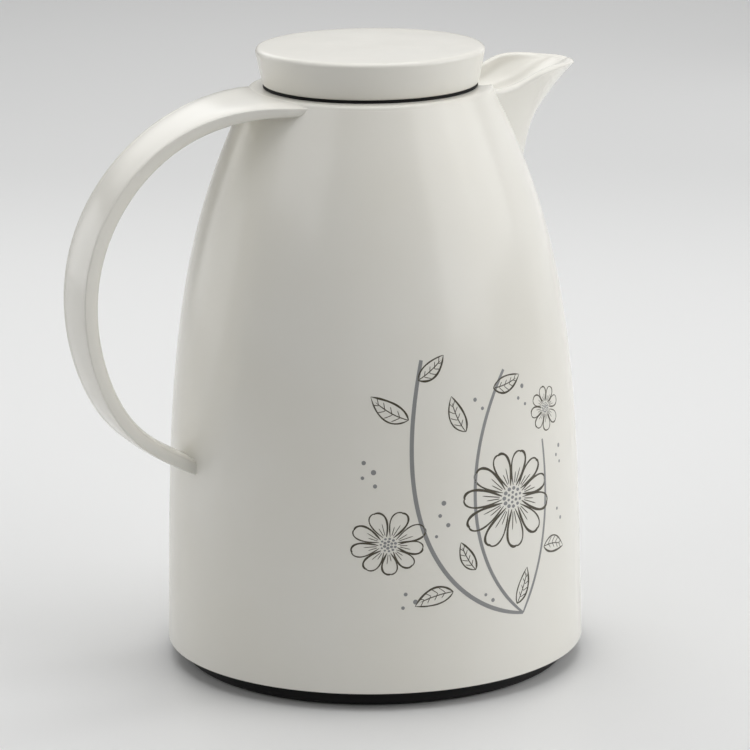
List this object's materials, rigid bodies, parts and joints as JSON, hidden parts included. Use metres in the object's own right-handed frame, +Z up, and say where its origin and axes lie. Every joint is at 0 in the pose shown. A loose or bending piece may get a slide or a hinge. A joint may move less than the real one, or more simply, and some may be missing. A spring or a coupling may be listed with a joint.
{
  "type": "vacuum carafe",
  "caption": "Bell-shaped vacuum carafe with a glass flask, side handle, raised pouring spout and a screw stopper lid.",
  "frame": {"origin": "on the body's axis, in the plane the carafe stands on", "axes": "+Z up along the body's axis, +X towards the spout, -X towards the handle; the handle and spout lie in the XZ plane"},
  "size_m": [0.2021, 0.156, 0.2303],
  "materials": {
    "shell_plastic": "glossy warm-white moulded plastic",
    "base_plastic": "black moulded plastic with a fine satin grain",
    "stopper_plastic": "black moulded plastic, satin",
    "inner_plastic": "white moulded plastic, satin",
    "foot_rubber": "matt black rubber",
    "seal_rubber": "matt black rubber ring under the lid",
    "clear_rubber": "milky silicone rubber",
    "cushion_rubber": "dark soft rubber",
    "silvered_glass": "blown glass silvered on the vacuum side",
    "spacer_fibre": "compressed mineral fibre",
    "stopper_foam": "light insulating foam",
    "screw_steel": "zinc-plated steel"
  },
  "bodies": {
    "body": {"outer_shell": "shell_plastic", "pouring_collar": "shell_plastic", "handle": "shell_plastic", "handle_cover": "shell_plastic", "handle_screws": "screw_steel", "base_thread_ring": "shell_plastic", "base_cup": "base_plastic", "base_gasket": "clear_rubber", "foot_ring": "foot_rubber", "liner_support": "inner_plastic", "liner_cushion": "cushion_rubber", "liner_outer": "silvered_glass", "liner_inner": "silvered_glass", "vacuum_spacers": "spacer_fibre", "shoulder_cushion": "cushion_rubber", "neck_gasket": "clear_rubber"},
    "lid_ring": {"lid_gasket": "seal_rubber"},
    "lid": {"lid_cap": "shell_plastic", "stopper_body": "stopper_plastic", "stopper_insulation": "stopper_foam", "stopper_base": "stopper_plastic", "stopper_seal": "clear_rubber"}
  },
  "joints": [
    {"name": "lid_lift", "type": "slide", "parent": "body", "child": "lid_ring", "axis": [0, 0, 1], "range_m": [0, 0.0375]},
    {"name": "lid_turn", "type": "hinge", "parent": "lid_ring", "child": "lid", "pos_m": [0, 0, 0.2], "axis": [0, 0, 1], "range_deg": [0, 900]}
  ],
  "couplings": [
    {"joint": "lid_lift", "follows": "lid_turn", "m_per_rad": 0.0023873}
  ]
}
